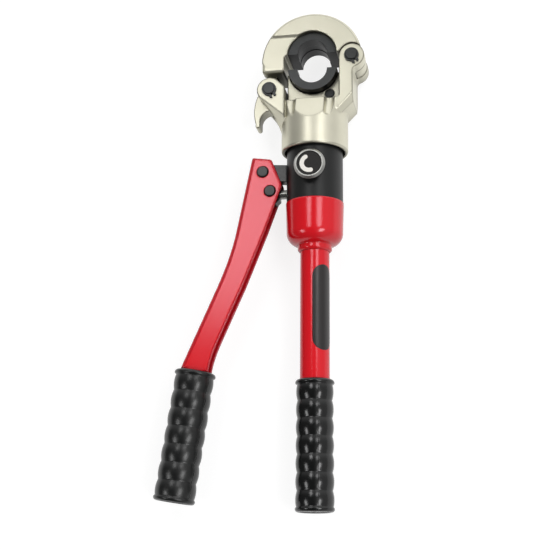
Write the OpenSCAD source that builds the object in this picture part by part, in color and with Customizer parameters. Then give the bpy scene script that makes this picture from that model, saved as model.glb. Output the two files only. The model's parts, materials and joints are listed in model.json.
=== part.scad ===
// Hand-pumped hydraulic crimping tool with a hinged head, lying on its back.
// The origin is on the crimping axis, at the parting face of the upper die.
// +X is to the right, +Y runs from the handle to the head, +Z is the front.

/* [Dies] */
// Diameter of the crimping bore
bore_d = 26; // [16:1:32]
// Outer diameter of a die
die_d = 43.2; // [38:0.2:46]
// Centre of a die's outer arc beyond its parting face
die_cut = 1.8; // [1:0.1:2.6]
// Width of a die along the bore
die_w = 33; // [26:1:36]
// Opening between the dies at rest
die_gap = 14; // [10:0.5:16]
// Width of the relief groove round the bore
bore_groove_w = 9; // [4:1:14]
// Depth of the relief groove
bore_groove_t = 0.4; // [0.4:0.2:2]

/* [Die holder] */
// Thickness of the die holder
holder_w = 16; // [15:0.5:24]
// Height of the die holder under the die
holder_foot = 8.2; // [7.6:0.2:12]
// Wall of the holder beside the die
holder_side = 1.6; // [1:0.2:3]
// Radius of the release pin's stem
die_pin_r = 3.9; // [3:0.1:4.4]
// Bite of the release pin's collar in the die
die_pin_bite = 0.6; // [0.4:0.1:0.8]
// Travel of the release pin
die_pin_travel = 3; // [2:0.5:3]

/* [Yoke] */
// Height of the yoke's band above the die
band_t = 16.9; // [12.9:0.2:20.9]
// Width of the left arm
arm_w = 19.8; // [17:0.2:24]
// Length of the left arm below the centre of the yoke's arc
arm_len = 9.3; // [7:0.1:12]
// Thickness of the band
yoke_w = 41; // [40:0.5:48]
// Thickness of the left arm
arm_t = 37.6; // [36:0.2:40]
// Height of the step between band and arm above the origin
step_y = 17.4; // [12:0.2:20]
// Thickness of the hinge tongue
tongue_t = 14.2; // [10:0.2:18]
// Edge break of the yoke
yoke_edge = 1.8; // [0.5:0.1:3]

/* [Head fork] */
// Thickness of the fork across its ears
fork_w = 40; // [38:0.5:46]
// Radius of the bosses round the two pins
boss_r = 11; // [9:0.2:13]
// Radius of the two pins
pin_r = 5; // [4:0.1:6.5]
// Height of the hinge pin below the parting face
hinge_drop = 5.3; // [3:0.1:8]
// Height of the latch pin below the hinge pin
latch_drop = 27.2; // [25:0.2:30]
// Distance of the latch boss from the fork's left inner face
latch_out = 2.3; // [1:0.1:4]
// Width of the right column beyond the hinge pin
column_out = 0.8; // [0.2:0.1:3]
// Thickness of the fork's floor
floor_t = 19.6; // [16:0.2:24]
// Wall of the socket round the pump body
socket_wall = 4.7; // [4:0.1:7]
// Depth of the socket
socket_depth = 25.4; // [22:0.2:32]
// Slot between each pair of ears
ear_slot = 14.8; // [14.8:0.1:18.5]

/* [Latch] */
// Reach of the finger hook below the latch pin
finger_reach = 31; // [26:0.5:36]
// Thickness of the finger hook
finger_t = 5.6; // [4:0.1:7]
// Height of the latch nose above the latch pin
nose_h = 27; // [18:0.5:28]
// Width of the latch nose
nose_w = 9; // [6:0.2:10]

/* [Ram] */
// Radius of the piston
piston_r = 16.4; // [14:0.1:18]
// Height of the piston
piston_h = 10; // [8:0.2:14]
// Radius of the ram rod
rod_r = 12; // [10:0.1:12.4]
// Length of the return spring at rest
ram_spring_l = 25; // [23:0.5:32]

/* [Pump] */
// Radius of the pump body
body_r = 24.3; // [23.8:0.1:24.8]
// Distance of the release knob below the socket's rim
knob_drop = 19.4; // [17:0.2:24]
// Distance of the plunger below the knob
plunger_drop = 16.4; // [15:0.2:20]
// Distance of the collar below the plunger
collar_drop = 10.3; // [9:0.1:14]
// Radius of the plunger
plunger_r = 4; // [3:0.1:4.5]
// Radius of the knob's bezel
knob_r = 13.4; // [11:0.1:14]
// Height of the knob's face above the pump body
knob_rise = 8.7; // [7.5:0.1:12]
// Radius of the release spindle
spindle_r = 4; // [3:0.1:4.5]
// Radius of the valve balls
ball_r = 2.5; // [2:0.1:2.5]

/* [Lever] */
// Distance of the lever's pivot from the pump body
pivot_out = 20.4; // [19:0.1:22]
// Height of the pivot above the lever's grip
lever_drop = 175.5; // [160:0.5:190]
// Offset of the lever's grip from the pivot
lever_out = 57.6; // [54:0.1:64]
// Distance of the drive pin below the pivot
drive_drop = 17.7; // [17:0.1:20]
// Offset of the drive pin towards the body
drive_in = 6.5; // [6:0.1:8]
// Half depth of the lever's channel
lever_half = 7.4; // [7:0.1:9]
// Thickness of the lever's sheet
sheet_t = 2; // [1.6:0.1:2.2]
// Radius of the lever's pins
lever_pin_r = 4; // [3:0.1:4.2]
// Radius of the pin heads
lever_head_r = 5.2; // [4.8:0.1:6]
// Lean of the lever grip
lever_lean = 8.4; // [6:0.2:12]

/* [Handle] */
// Length of the collar down to its neck
collar_len = 37.1; // [32:0.1:46]
// Step from the pump body out to the collar
collar_out = 0.7; // [0.6:0.1:0.7]
// Radius of the neck
neck_r = 14.6; // [13.6:0.1:17]
// Length of the neck
neck_len = 5.7; // [4:0.1:9]
// Radius of the handle tube
tube_r = 12.45; // [12:0.05:13]
// Wall of the handle tube
tube_wall = 2; // [1.2:0.1:2.4]
// Free length of the tube between neck and grip
tube_free = 109.6; // [80:0.2:140]

/* [Grips] */
// Length of a grip between the flange centres
grip_len = 103; // [80:1:120]
// Lobes along a grip
grip_lobes = 7; // [5:1:9]
// Radius of the lobes at the top
lobe_r = 15.1; // [14.9:0.05:15.6]
// Growth of the lobes to the bottom
lobe_growth = 0.8; // [0:0.1:1.2]
// Depth of the notches between the lobes
notch_t = 1.1; // [0.6:0.1:1.2]
// Radius of the flange's roll
roll_r = 2.5; // [1.8:0.1:3]
// Extra length of the lever grip
lever_stretch = 2; // [0:0.5:6]
// Extra radius of the lever grip
lever_swell = 1.2; // [1:0.1:2]

/* [Hidden] */
$fn = 64;

// Colours of the finishes
nickel = [0.86, 0.84, 0.76];
die_black = [0.16, 0.16, 0.16];
body_black = [0.2, 0.2, 0.2];
paint_red = [0.85, 0.1, 0.13];
rubber_black = [0.07, 0.07, 0.07];
steel = [0.7, 0.7, 0.72];
brass = [0.78, 0.62, 0.3];

// Clearances: pressed or seated, running, and between bodies that pass
fit = 0.03;
run = 0.06;
pass = 0.4;
// Overrun of every cut, and a reach past the whole tool
over = 1;
far = 90;

// Stations along the tool, from the dies down
die_r = die_d / 2;
bore_r = bore_d / 2;
y_lower = -die_gap;
y_holder = y_lower + die_cut - die_r - holder_foot;
y_floor = y_holder - pass;
y_under = y_floor - floor_t;
y_rim = y_under - socket_depth;
y_nose = y_under - pass;
y_knob = y_rim - knob_drop;
y_plunger = y_knob - plunger_drop;
y_collar = y_plunger - collar_drop;
y_neck = y_collar - collar_len;
y_tube = y_neck - neck_len;
y_grip = y_tube - tube_free - roll_r;
y_grip_end = y_grip - grip_len;

// Places across the head
socket_r = body_r + socket_wall;
holder_half = die_r + holder_side;
fork_gap = 0.8;
opening_gap = 1.2;
fork_inner = holder_half + fork_gap;
opening_half = holder_half + opening_gap;
hinge = [fork_inner + boss_r, -hinge_drop];
latch_at = [-fork_inner - latch_out - boss_r, -hinge_drop - latch_drop];
yoke_r = opening_half + arm_w;
die_top = die_r - die_cut;
upper_seat = [0, -die_cut];
lower_seat = [0, y_lower + die_cut];
yoke_cy = die_top + band_t - yoke_r;
arm_bottom = yoke_cy - arm_len;

// Die holder details
die_proud = 1.2;
holder_h = y_lower - die_proud - y_holder;
die_pin_turn = -58;
die_pin_gap = 1.14;
die_pin_at = lower_seat + (die_r + die_pin_r + die_pin_gap) * [cos(die_pin_turn), sin(die_pin_turn)];
die_pin_collar = die_pin_gap + die_pin_bite;
die_pin_lip = 4;
die_pin_collar_h = 3;
die_pin_plug_h = 3;
die_pin_proud = 0.4;
die_pin_bore_r = die_pin_r + die_pin_collar + run;
die_pin_turns = 3;
holder_round = 4;
screw_head_r = 4.6;
screw_head_h = 3.2;
screw_r = 3;
screw_hex = 2.2;
screw_len = 16;
detent_r = 3;
detent_len = 9;
detent_tip = 1.2;

// Yoke details
shoulder_y = -die_proud;
arm_round = 3;
slot_depth_share = 0.7;

// Fork details
column_x = hinge[0] + column_out;
column_foot = 4;
column_fillet = 4;
rim_round = 1.2;
lip_out = 1.7;
lip_r = body_r + lip_out;
lip_h = 6;
web_top = fork_w / 2;
web_slope = 23.7;
groove_r = 4.2;
groove_shares = [-0.63, 0.54];
column_share = 0.69;
corner_drop = 33.7;
corner_turn = 47;
corner_tilt = 47;
ear_corner = [4.6, -17.4];
ear_corner_turn = -40;
ear_corner_tilt = 57;
ear_foot_shares = [0.99, 0.3];
ear_bend_shares = [1.09, 0.27];
ear_top_share = 0.2;
ear_merge = 0.3;
ear_steps = 12;
latch_wall = 2.6;
latch_gap_h = 20;

// Pins and clips
clip_t = 1.2;
clip_gap = 0.3;
clip_ring = 1.3;
clip_sink = 0.7;
clip_lug_r = 1.5;
clip_lug_out = 0.8;
clip_open = 14;
clip_turn = -62;
pin_end = 1;
pin_half = fork_w / 2 + clip_gap + clip_t + pin_end;

// Latch details
latch_t = ear_slot - 2 * pass;
latch_inset = 0.6;
latch_r = boss_r - latch_inset;
finger_tip_share = 0.38;
finger_arc = 39;
finger_out = 15.9;
hook_r = 9;
hook_drop = 23.8;
spring_wire = 0.6;
latch_spring_r = 2.6;
latch_spring_drop = 8.5;
latch_flat = 5;

// Ram details
seal_w = 4;
seal_t = 2.2;
seal_up = 3;
ram_wire = 1.6;
ram_turns = 6;
y_piston = y_under - 2 * fit - ram_spring_l;
y_bore = y_piston - piston_h - pass;

// Pump details
groove_wire = 1.2;
swivel_down = 8;
oring_down = 4;
spigot_step = 2.4;
spigot_r = body_r - spigot_step;
spigot_len = 26;
nipple_r = 5;
nipple_bore = 1.6;
nipple_len = 30;
nipple_rise = 5;
lug_half = lever_half - sheet_t - pass;
lug_r = 7.2;
lug_top = 8.1;
lug_bottom = 7.4;
boss_knob_r = 9;
knob_h = 7;
knob_face = body_r + knob_rise;
boss_knob_h = knob_face - knob_h;
valve_share = 0.4527;
valve_x = valve_share * body_r;
port_r = 1.4;
valve_gap = 0.3;
valve_r = ball_r + valve_gap;
seat_gap = 0.36;
seat_rise = sqrt(ball_r * ball_r - port_r * port_r) + seat_gap;
suction_drop = 17;
delivery_rise = 11;
valve_wire = 0.55;
valve_turns = 4;
valve_spring_in = 0.5;
valve_spring_r = ball_r - valve_spring_in;
sleeve_h = 2.2;
sleeve_bore = 1;
gland_r = 7;
gland_h = 7;
gland_sink = 3;
plunger_seal_h = 3;
plunger_tip = 2;
chamber_end = valve_x + plunger_r;
y_nipple = y_collar - spigot_len - nipple_len;
y_feed = y_collar - spigot_len + nipple_rise;
suction_stop = y_plunger - plunger_r - 2 * pass - sleeve_h;
delivery_stop = y_bore - pass - sleeve_h;
spindle_end = 6.6;
spindle_point = 3;
spindle_seal_z = 17;
spindle_groove = 0.9;
relief_r = 4;
relief_depth = 16.3;
relief_seat_z = relief_depth - body_r;
relief_drop = 5.2;
relief_y = y_knob - relief_drop;
relief_cone = 2.2;
relief_ball_h = 4;
relief_spring_l = 5;
relief_hex = 1.8;
relief_hex_h = 2.4;

// Knob details
bezel_wall = 2.6;
bezel_rim = 0.9;
bezel_flank = 2.1;
knob_body_r = knob_r - bezel_wall;
knob_gap = 0.4;
bezel_h = 2.6;
face_sink = 0.5;

// Lever: pivot, drive pin and the edges of the channel
pivot_rise = 3.1;
pivot = [-body_r - pivot_out, y_knob + pivot_rise];
drive = pivot + [drive_in, -drive_drop];
eye_half = lug_half;
eye_up = 7.4;
eye_down = 11;
eye_left = 8.6;
eye_right = 8;
eye_cut = 3.4;
pin_rise = 2.2;
pin_fall = 1.5;
slot_play = 0.6;
head_h = 1.4;
head_edge = 1;
grip_top = pivot - [lever_out, lever_drop];
lever_grip_len = grip_len + lever_stretch;
tang_w = 16.6;
tang_len = 70;
tang_share = 0.75;
edge_steps = 12;
// Lever edges from the top down, as shares of the drop from the pivot to the grip
left_shares = [[-0.057, 0.078], [-0.134, -0.309]];
knee_shares = [[-0.134, -0.309], [-0.16, -0.436], [-0.23, -0.595]];
right_shares = [[0.0375, 0.065], [0.046, 0.058], [0.0945, -0.065], [0.094, -0.084], [0.015, -0.303],
    [-0.09, -0.57]];
heel_shares = [[-0.208, -0.84], [-0.242, -0.918], [-0.2525, -0.976]];

// Handle details
collar_r = body_r + collar_out;
collar_taper = 0.8;
neck_edge = 1.6;
collar_round = 11;
tube_in = 7.4;
seal_wire = 1;
seal_up_collar = 12;
nipple_gap = 1;
bladder_gap = 0.6;
bladder_r = tube_r - tube_wall - bladder_gap;
bladder_wall = 1.2;
bladder_len = 150;
bladder_neck = 10;
bladder_cone = 8;
clamp_h = 4;
clamp_t = 1;
plug_h = 10;

// Grip details
flange_out = 1.2;
flange_r = lobe_r + flange_out;

// Places a child with its own Z along the tool, at height y
module on_y(y, x = 0, z = 0) translate([x, y, z]) rotate([-90, 0, 0]) children();

// Places a child with its own Z along +X, at x and y
module on_x(x, y) translate([x, y, 0]) rotate([0, 90, 0]) children();

// Places a child with its own Z to the front, at a point of the front view
module on_z(at, z = 0) translate([at[0], at[1], z]) children();

// A plate of the front view, even about the middle plane
module plate(t) linear_extrude(t, center = true) children();

// A box that is even about the middle plane
module slab(low, high, t) translate([low[0], low[1], -t / 2]) cube([high[0] - low[0], high[1] - low[1], t]);

// A ring of a round wire, along its own Z
module wire_ring(r, wire) rotate_extrude() translate([r, 0]) circle(wire, $fn = 32);

// Touching point of the line from p on a circle, on the left or right as seen from p
function tangent(c, r, p, side) =
    let (d = p - c, a = atan2(d[1], d[0]) + side * acos(r / norm(d)))
    c + r * [cos(a), sin(a)];

// Points of a curve from a to b with one handle
function bend(a, h, b, n) = [for (i = [0 : n])
    let (t = i / n) (1 - t) * (1 - t) * a + 2 * t * (1 - t) * h + t * t * b];

// Centre of a coil's wire after a share of its length
function coil_at(r, wire, len, turns, t) =
    [r * cos(turns * t * 360), r * sin(turns * t * 360), wire / 2 + t * (len - wire)];

// A compression spring from its own Z of 0 up to len, one unbroken wire
coil_rings = 12;
coil_sides = 6;
module coil(r, wire, len, turns) {
    n = coil_rings * turns;
    points = [for (i = [0 : n]) let (a = turns * 360 * i / n, c = coil_at(r, wire, len, turns, i / n))
        for (k = [0 : coil_sides - 1]) let (b = k * 360 / coil_sides)
            c + wire / 2 * (cos(b) * [cos(a), sin(a), 0] + sin(b) * [0, 0, 1])];
    walls = [for (i = [0 : n - 1]) for (k = [0 : coil_sides - 1])
        let (p = i * coil_sides, q = p + coil_sides, m = (k + 1) % coil_sides)
        each [[p + k, q + k, q + m], [p + k, q + m, p + m]]];
    first = [for (k = [1 : coil_sides - 2]) [0, k, k + 1]];
    e = n * coil_sides;
    last = [for (k = [1 : coil_sides - 2]) [e, e + k + 1, e + k]];
    polyhedron(points, concat(walls, first, last));
}

// An open retaining ring with two lugs, in a groove round a pin end
module clip() {
    outer = pin_r + clip_ring;
    linear_extrude(clip_t) difference() {
        union() {
            circle(outer);
            for (s = [-1, 1]) rotate(clip_turn + s * clip_open)
                translate([outer + clip_lug_out, 0]) circle(clip_lug_r);
        }
        circle(pin_r - clip_sink + fit);
        rotate(clip_turn) translate([0, -clip_lug_r / 2])
            square([outer + 2 * clip_lug_r + over, clip_lug_r]);
    }
}

module clips(at) for (s = [0, 1]) on_z(at) mirror([0, 0, s])
    translate([0, 0, fork_w / 2 + clip_gap]) clip();

// A pin through both ears, with a groove near each end
module cross_pin(at) on_z(at) rotate_extrude() {
    e = pin_half;
    g = fork_w / 2 + clip_gap - fit;
    polygon([for (s = [-1, 1]) each s < 0
        ? [[0, -e], [pin_r - pin_end / 2, -e], [pin_r, -e + pin_end / 2], [pin_r, -g - clip_t - 2 * fit],
           [pin_r - clip_sink, -g - clip_t - 2 * fit], [pin_r - clip_sink, -g], [pin_r, -g]]
        : [[pin_r, g], [pin_r - clip_sink, g], [pin_r - clip_sink, g + clip_t + 2 * fit],
           [pin_r, g + clip_t + 2 * fit], [pin_r, e - pin_end / 2], [pin_r - pin_end / 2, e], [0, e]]]);
}

// One half of the die pair: part of a disc, with a grooved half bore
module half_die() intersection() {
    difference() {
        on_z(upper_seat, -die_w / 2) cylinder(r = die_r, h = die_w);
        cylinder(r = bore_r, h = 2 * far, center = true);
        cylinder(r = bore_r + bore_groove_t, h = bore_groove_w, center = true);
    }
    translate([-far, 0, -far]) cube([2 * far, far, 2 * far]);
}

module upper_die() color(die_black) difference() {
    half_die();
    on_y(die_top - detent_tip - fit) cylinder(r = detent_r + fit, h = detent_len);
}

module upper_die_detent() color(steel) on_y(die_top - detent_tip)
    cylinder(r = detent_r, h = detent_len + detent_tip);

// Foot and height of the space that the release pin's collar sweeps
die_pin_foot = holder_w / 2 - die_pin_lip - die_pin_collar_h - die_pin_travel - pass;
die_pin_sweep = die_pin_collar_h + die_pin_travel + 2 * pass;

module lower_die() color(die_black) difference() {
    translate([0, y_lower, 0]) mirror([0, 1, 0]) half_die();
    // notch that holds the collar, and the groove that lets the die turn out when it is pressed
    on_z(die_pin_at, die_pin_foot) cylinder(r = die_pin_bore_r + pass, h = die_pin_sweep);
    on_z(lower_seat, die_pin_foot) difference() {
        cylinder(r = die_r + over, h = die_pin_collar_h + pass);
        cylinder(r = die_r - die_pin_bite - pass, h = die_pin_sweep);
    }
}

module die_holder() color(nickel) difference() {
    plate(holder_w) difference() {
        union() {
            translate([-holder_half, y_holder + holder_round])
                square([2 * holder_half, holder_h - holder_round]);
            translate([-holder_half + holder_round, y_holder])
                square([2 * (holder_half - holder_round), holder_h]);
            for (s = [-1, 1]) translate([s * (holder_half - holder_round), y_holder + holder_round])
                circle(holder_round);
        }
        translate(lower_seat) circle(die_r + fit);
    }
    // stepped bore of the release pin, open at the back
    on_z(die_pin_at, -holder_w / 2 - over) cylinder(r = die_pin_bore_r, h = holder_w + over - die_pin_lip);
    on_z(die_pin_at, -over) cylinder(r = die_pin_r + run, h = holder_w + over);
    // screw from the die seat into the ram
    on_y(y_holder - over) cylinder(r = screw_r + fit, h = holder_h);
    on_y(lower_seat[1] - die_r - screw_head_h - pass) cylinder(r = screw_head_r + fit, h = holder_h);
}

module die_holder_screw() color(steel) {
    top = lower_seat[1] - die_r - pass;
    difference() {
        union() {
            on_y(top - screw_head_h + fit) cylinder(r = screw_head_r, h = screw_head_h - fit);
            on_y(top - screw_head_h - screw_len + fit) cylinder(r = screw_r, h = screw_len + fit);
        }
        on_y(top - screw_head_h / 2) cylinder(r = screw_hex, h = screw_head_h, $fn = 6);
    }
}

module die_release_pin() color(die_black) on_z(die_pin_at, holder_w / 2 - die_pin_lip - run) {
    cylinder(r = die_pin_r, h = die_pin_lip + die_pin_proud + run);
    translate([0, 0, -die_pin_collar_h]) cylinder(r = die_pin_r + die_pin_collar, h = die_pin_collar_h);
}

module die_release_spring() color(steel) {
    foot = -holder_w / 2 + die_pin_plug_h + run;
    top = holder_w / 2 - die_pin_lip - die_pin_collar_h - 2 * run;
    on_z(die_pin_at, foot) coil(die_pin_r - spring_wire, spring_wire, top - foot, die_pin_turns);
}

// Plug behind the spring, cut back for the die beside it
module die_pin_plug() color(steel) difference() {
    on_z(die_pin_at, -holder_w / 2) cylinder(r = die_pin_bore_r - fit, h = die_pin_plug_h);
    on_z(lower_seat, -far) cylinder(r = die_r + fit, h = far);
}

// Front view of the yoke's band: the upper part of a disc
module band_outline() intersection() {
    translate([0, yoke_cy]) circle(yoke_r);
    translate([-yoke_r - over, yoke_cy]) square([2 * yoke_r + 2 * over, yoke_r + over]);
}

// Turned edge of the band
module band_edge() on_z([0, yoke_cy]) rotate_extrude() polygon([
    [0, -yoke_w / 2], [yoke_r - yoke_edge, -yoke_w / 2], [yoke_r, -yoke_w / 2 + yoke_edge],
    [yoke_r, yoke_w / 2 - yoke_edge], [yoke_r - yoke_edge, yoke_w / 2], [0, yoke_w / 2]]);

// A rectangle with round corners
module soft_rect(low, high, r) for (p = [[r, 0], [0, r]])
    translate(low + p) square(high - low - 2 * p);
module soft_corners(low, high, r) for (x = [low[0] + r, high[0] - r], y = [low[1] + r, high[1] - r])
    translate([x, y]) circle(r);

module arm_block() intersection() {
    low = [-yoke_r, arm_bottom];
    high = [-opening_half, step_y];
    plate(yoke_w) intersection() {
        union() {
            soft_rect(low, high, arm_round);
            soft_corners(low, high, arm_round);
        }
        union() {
            translate([0, yoke_cy]) circle(yoke_r);
            translate([-far, yoke_cy - far]) square([far, far]);
        }
    }
    // side view, with a round lower edge
    rotate([0, 90, 0]) linear_extrude(2 * far, center = true) {
        soft_rect([-arm_t / 2, arm_bottom], [arm_t / 2, step_y + arm_w], arm_round);
        soft_corners([-arm_t / 2, arm_bottom], [arm_t / 2, step_y + arm_w], arm_round);
    }
    // plan view, with broken outer edges
    rotate([90, 0, 0]) linear_extrude(2 * far, center = true) polygon([
        [-yoke_r, -arm_t / 2 + yoke_edge], [-yoke_r + yoke_edge, -arm_t / 2], [0, -arm_t / 2],
        [0, arm_t / 2], [-yoke_r + yoke_edge, arm_t / 2], [-yoke_r, arm_t / 2 - yoke_edge]]);
}

module yoke() color(nickel) difference() {
    union() {
        intersection() {
            difference() {
                plate(yoke_w) band_outline();
                // the left side steps back to the arm's thickness
                for (s = [0, 1]) mirror([0, 0, s]) rotate([0, -90, 0]) linear_extrude(far) polygon([
                    [arm_t / 2, -far], [arm_t / 2, step_y - (yoke_w - arm_t) / 2],
                    [yoke_w / 2 + over, step_y + over], [yoke_w / 2 + over, -far]]);
                // room for the two right ears
                for (s = [0, 1]) mirror([0, 0, s]) on_z(hinge, tongue_t / 2)
                    cylinder(r = boss_r + pass, h = yoke_w);
                slab([-opening_half, -far], [far, shoulder_y], 2 * far);
            }
            band_edge();
        }
        arm_block();
        // hinge tongue between the right ears
        plate(tongue_t) difference() {
            union() {
                translate(hinge) circle(boss_r - pass);
                intersection() {
                    band_outline();
                    translate([0, hinge[1]]) square([yoke_r, far]);
                }
            }
            translate([-far, -far]) square([far + fork_inner, far + shoulder_y]);
        }
    }
    // die seat with the bore of the detent
    plate(2 * far) translate(upper_seat) circle(die_r + fit);
    on_y(die_top - detent_tip) cylinder(r = detent_r + fit, h = detent_len + detent_tip + fit);
    // slot for the latch nose, open below and outside
    slab([-far, -far], [latch_at[0] + nose_w / 2 + 2 * pass, arm_bottom + slot_depth_share * arm_w],
        ear_slot);
    on_z(hinge, -far) cylinder(r = pin_r + run, h = 2 * far);
}

module yoke_pin() color(die_black) cross_pin(hinge);
module yoke_pin_clips() color(die_black) clips(hinge);
module latch_pin() color(die_black) cross_pin(latch_at);
module latch_pin_clips() color(die_black) clips(latch_at);

// Round corner between the right boss and the column below it
module column_corner() {
    x = column_x + column_fillet;
    y = hinge[1] - sqrt(pow(boss_r + column_fillet, 2) - pow(x - hinge[0], 2));
    difference() {
        polygon([hinge, [x, y], [column_x, y], [hinge[0], y]]);
        translate([x, y]) circle(column_fillet);
    }
}

module right_ear() {
    translate(hinge) circle(boss_r);
    column_corner();
    polygon([[fork_inner, hinge[1]], [column_x, hinge[1]], [column_x, y_floor - column_foot],
        [column_share * socket_r, y_floor - column_foot - (column_x - column_share * socket_r)],
        [column_share * socket_r, y_floor], [fork_inner, y_floor]]);
}

module left_ear() {
    foot = [-ear_foot_shares[0] * socket_r, y_under - ear_foot_shares[1] * socket_depth];
    handle = [-ear_bend_shares[0] * socket_r, y_under + ear_bend_shares[1] * socket_depth];
    upper = [-fork_inner, latch_at[1] + ear_top_share * boss_r];
    into = boss_r - ear_merge;
    translate(latch_at) circle(boss_r);
    polygon(concat([latch_at, tangent(latch_at, into, upper, 1), upper, [-fork_inner, foot[1]]],
        bend(foot, handle, tangent(latch_at, into, handle, -1), ear_steps)));
}

// Cut that slopes the front and the back of an ear down from a line through a point
module sloped_corner(at, turn, tilt) for (s = [0, 1]) mirror([0, 0, s])
    on_z(at, fork_w / 2) rotate([0, 0, turn]) rotate([tilt, 0, 0])
        translate([-far, -far, 0]) cube([2 * far, 2 * far, far]);

module head_fork() color(nickel) difference() {
    union() {
        difference() {
            on_y(y_rim) rotate_extrude() polygon([[0, 0], [socket_r - rim_round, 0],
                [socket_r, rim_round], [socket_r, y_floor - y_rim], [0, y_floor - y_rim]]);
            // sloped faces at the front and the back, between two grooves
            for (s = [0, 1]) mirror([0, 0, s]) {
                translate([0, y_floor, web_top]) rotate([-web_slope, 0, 0])
                    translate([-far, -far, 0]) cube([2 * far, 2 * far, far]);
                for (g = groove_shares) translate([g * socket_r, y_floor + over, web_top])
                    rotate([90 - web_slope, 0, 0]) cylinder(r = groove_r, h = floor_t);
            }
        }
        difference() {
            plate(fork_w) right_ear();
            sloped_corner([column_x, hinge[1] - corner_drop], corner_turn, corner_tilt);
        }
        difference() {
            plate(fork_w) left_ear();
            sloped_corner(latch_at + ear_corner, ear_corner_turn, ear_corner_tilt);
        }
    }
    // slots for the tongue and the latch
    on_z(hinge, -ear_slot / 2) cylinder(r = boss_r + pass, h = ear_slot);
    slab([-far, latch_at[1] - latch_gap_h], [-fork_inner - latch_wall, far], ear_slot);
    slab([-fork_inner, y_floor], [fork_inner, far], 2 * far);
    // socket, rod bore and the groove of the swivel ring
    on_y(y_rim - over) cylinder(r = body_r + run, h = socket_depth + over);
    on_y(y_rim - over) cylinder(r = lip_r, h = lip_h + over);
    on_y(y_under - over) cylinder(r = rod_r + run, h = floor_t + 2 * over);
    on_y(y_nose - swivel_down) wire_ring(body_r, groove_wire + pass);
    for (at = [hinge, latch_at]) on_z(at, -far) cylinder(r = pin_r + fit, h = 2 * far);
    // blind seat of the latch spring
    on_x(-fork_inner - latch_wall - over, latch_at[1] - latch_spring_drop)
        cylinder(r = latch_spring_r + spring_wire, h = over + latch_wall / 2);
}

module latch() color(nickel) difference() {
    plate(latch_t) {
        difference() {
            union() {
                translate(latch_at) circle(latch_r);
                translate(latch_at + [-nose_w / 2, 0]) square([nose_w, nose_h - nose_w / 2]);
                translate(latch_at + [0, nose_h - nose_w / 2]) circle(nose_w / 2);
                intersection() {
                    translate(latch_at + [finger_arc - finger_out, -finger_reach / 2]) circle(finger_arc);
                    translate(latch_at + [-finger_out - over, -finger_reach + finger_t / 2])
                        square([finger_out + over, finger_reach - finger_t / 2]);
                }
            }
            translate(latch_at + [-finger_out + finger_t + hook_r, -hook_drop]) circle(hook_r);
            translate(latch_at + [-finger_out + finger_t, -hook_drop - far]) square([far, far]);
        }
        translate(latch_at + [-finger_out + (1 - finger_tip_share) * finger_t, finger_t / 2 - finger_reach])
            circle(finger_tip_share * finger_t);
    }
    on_z(latch_at, -far) cylinder(r = pin_r + run, h = 2 * far);
    // blind seat of the spring
    on_x(latch_at[0] + latch_flat, latch_at[1] - latch_spring_drop)
        cylinder(r = latch_spring_r + spring_wire, h = far);
}

module latch_spring() color(steel) {
    foot = latch_at[0] + latch_flat + run;
    top = -fork_inner - latch_wall / 2 - run;
    on_x(foot, latch_at[1] - latch_spring_drop)
        coil(latch_spring_r, spring_wire, top - foot, valve_turns);
}

module ram_piston() color(steel) difference() {
    on_y(y_piston - piston_h) rotate_extrude() polygon([
        [0, 0], [piston_r, 0], [piston_r, seal_up], [piston_r - seal_t, seal_up],
        [piston_r - seal_t, seal_up + seal_w], [piston_r, seal_up + seal_w], [piston_r, piston_h],
        [rod_r, piston_h], [rod_r, y_holder - y_piston + piston_h], [0, y_holder - y_piston + piston_h]]);
    on_y(y_holder - screw_len) cylinder(r = screw_r + fit, h = screw_len + over);
}

module ram_seal() color(rubber_black) on_y(y_piston - piston_h + seal_up + fit) difference() {
    cylinder(r = piston_r, h = seal_w - 2 * fit);
    translate([0, 0, -over]) cylinder(r = piston_r - seal_t + fit, h = seal_w + 2 * over);
}

module ram_return_spring() color(steel) on_y(y_piston + fit)
    coil((piston_r + rod_r) / 2, ram_wire, ram_spring_l, ram_turns);

// Outline of the lug that carries the lever
module lug() {
    translate(pivot) circle(lug_r);
    polygon([pivot + [0, lug_r], [-body_r / 2, y_knob + lug_top], [-body_r / 2, y_knob - lug_bottom],
        pivot + [0, -lug_r]]);
}

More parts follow.
